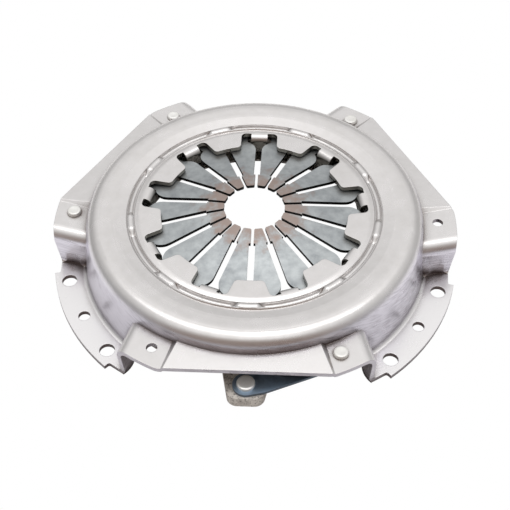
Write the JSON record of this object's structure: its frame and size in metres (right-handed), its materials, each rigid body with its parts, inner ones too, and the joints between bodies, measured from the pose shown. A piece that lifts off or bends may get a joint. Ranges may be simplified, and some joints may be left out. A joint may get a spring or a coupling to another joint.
{
  "type": "clutch pressure plate",
  "caption": "Diaphragm-spring clutch cover assembly: pressed-steel cover, slotted spring, and a cast pressure plate hung on leaf straps.",
  "frame": {"origin": "centre of the flywheel mounting plane, on the clutch axis at the underside of the cover's flanges", "axes": "+Z along the clutch axis towards the spring's finger tips; the strap bridges stand at 30, 150 and 270 degrees about Z and the bolting flanges at 90, 210 and 330 degrees"},
  "size_m": [0.2428, 0.2424, 0.041],
  "materials": {
    "cover_steel": "satin pressed steel sheet, lightly oiled, with drawing marks",
    "spring_steel": "shot-peened hardened spring steel, blue-grey, with tempered brownish finger tips",
    "wire_steel": "drawn spring wire",
    "plate_iron": "grey cast iron, sand-cast lugs, ground friction face",
    "strap_steel": "blue-tempered spring steel strip",
    "rivet_steel": "bright zinc-plated rivet steel"
  },
  "bodies": {
    "cover_assembly": {"cover": "cover_steel", "diaphragm_spring": "spring_steel", "fulcrum_wire_ring": "wire_steel", "strap_1_leaf_lower": "strap_steel", "strap_1_leaf_upper": "strap_steel", "strap_2_leaf_lower": "strap_steel", "strap_2_leaf_upper": "strap_steel", "strap_3_leaf_lower": "strap_steel", "strap_3_leaf_upper": "strap_steel", "cover_rivet_1": "rivet_steel", "cover_rivet_2": "rivet_steel", "cover_rivet_3": "rivet_steel", "balance_rivet": "rivet_steel"},
    "plate_assembly": {"pressure_plate": "plate_iron", "lug_rivet_1": "rivet_steel", "lug_rivet_2": "rivet_steel", "lug_rivet_3": "rivet_steel"}
  },
  "joints": [
    {"name": "plate_lift", "type": "slide", "parent": "cover_assembly", "child": "plate_assembly", "axis": [0, 0, 1], "range_m": [0, 0.004], "stiffness_N_per_m": 20000, "deforming": ["diaphragm_spring", "strap_1_leaf_lower", "strap_1_leaf_upper", "strap_2_leaf_lower", "strap_2_leaf_upper", "strap_3_leaf_lower", "strap_3_leaf_upper"]}
  ]
}
